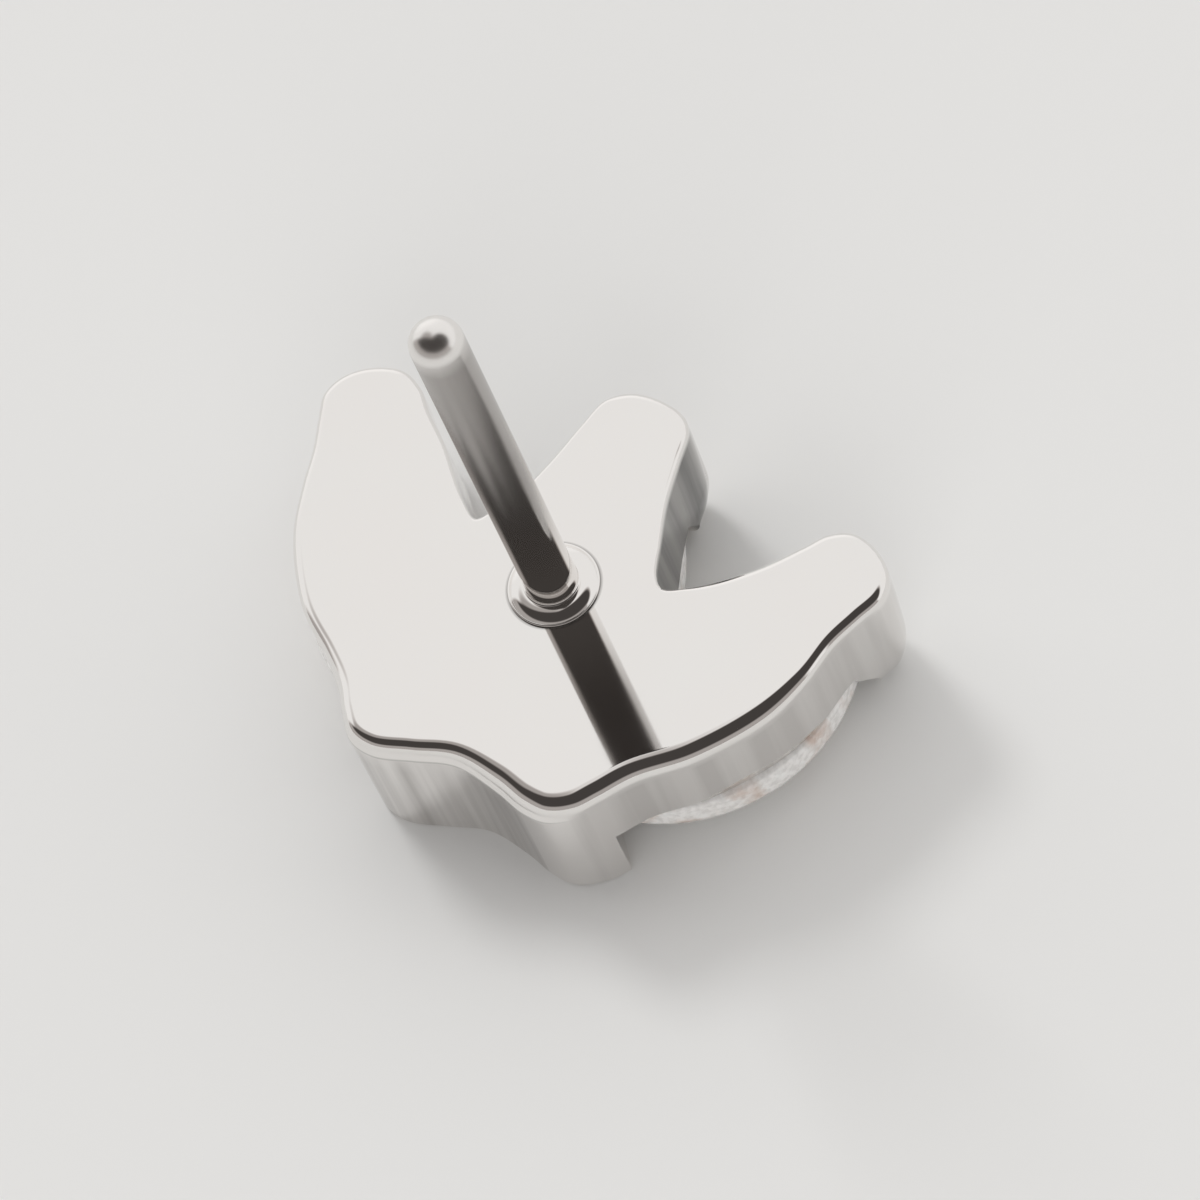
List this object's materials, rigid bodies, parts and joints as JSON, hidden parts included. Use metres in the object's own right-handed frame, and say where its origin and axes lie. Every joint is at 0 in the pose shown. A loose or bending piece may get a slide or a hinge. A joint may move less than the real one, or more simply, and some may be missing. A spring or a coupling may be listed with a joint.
{
  "type": "threadless piercing top",
  "caption": "Threadless piercing top: a fan of marquise opal cabochons in a cast white-gold plate with end prongs, and a push-fit pin on the flat back.",
  "frame": {"origin": "where the pin's axis meets the plane of the plate's flat back", "axes": "+Z along the pin, away from the stones; +Y toward the middle lobe; +X to the right as seen from the pin's side"},
  "size_m": [0.006, 0.0042, 0.0065],
  "materials": {
    "metal": "mirror-polished white gold",
    "opal": "polished milky white opal"
  },
  "bodies": {
    "root": {"setting": "metal", "left_stone": "opal", "centre_stone": "opal", "right_stone": "opal"}
  },
  "joints": []
}
